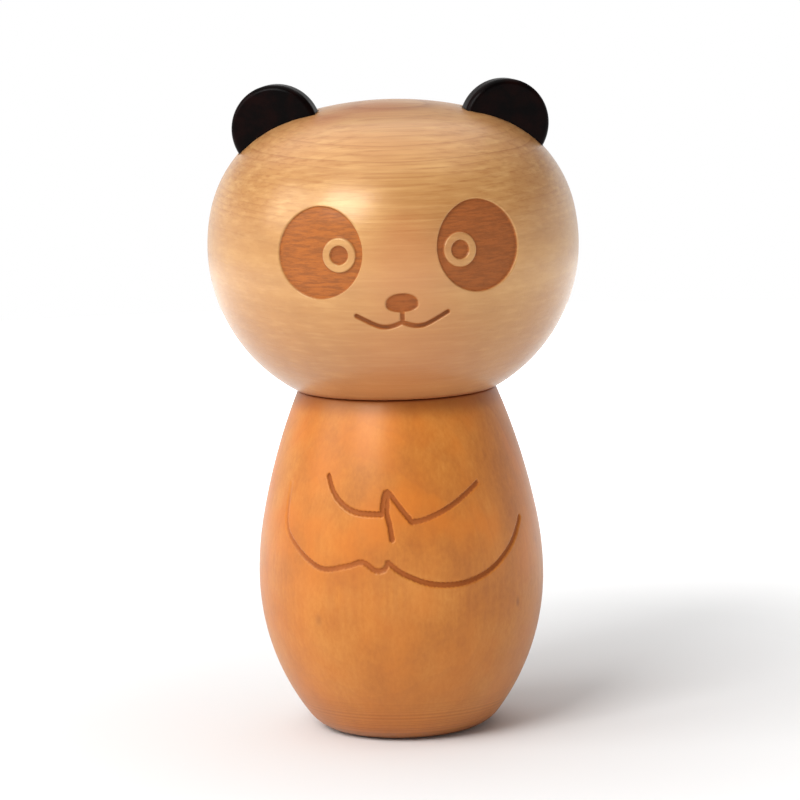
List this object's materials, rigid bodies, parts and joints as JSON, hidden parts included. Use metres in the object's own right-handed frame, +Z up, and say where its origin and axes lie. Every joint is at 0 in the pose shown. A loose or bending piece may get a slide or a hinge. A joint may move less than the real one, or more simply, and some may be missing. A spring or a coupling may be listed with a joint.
{
  "type": "kokeshi doll",
  "caption": "Small turned wooden kokeshi doll of a panda: barrel body, round head that turns on a neck tenon, black disc ears, engraved face and folded arms.",
  "frame": {"origin": "centre of the flat base the doll stands on", "axes": "+Z up along the turning axis of body and head, the face looks along -Y, +X is the doll's left ear side"},
  "size_m": [0.0568, 0.0568, 0.1],
  "materials": {
    "body_wood": "clear satin varnish over orange-toned turned wood",
    "head_wood": "clear satin varnish over pale turned wood",
    "tenon_wood": "bare turned hardwood, waxed",
    "ear_lacquer": "gloss black lacquer on wood"
  },
  "bodies": {
    "body": {"body": "body_wood"},
    "head": {"head": "head_wood", "neck_tenon": "tenon_wood", "left_ear": "ear_lacquer", "right_ear": "ear_lacquer"}
  },
  "joints": [
    {"name": "head_turn", "type": "hinge", "parent": "body", "child": "head", "pos_m": [0, 0, 0.05296], "axis": [0, 0, 1], "continuous": true}
  ]
}
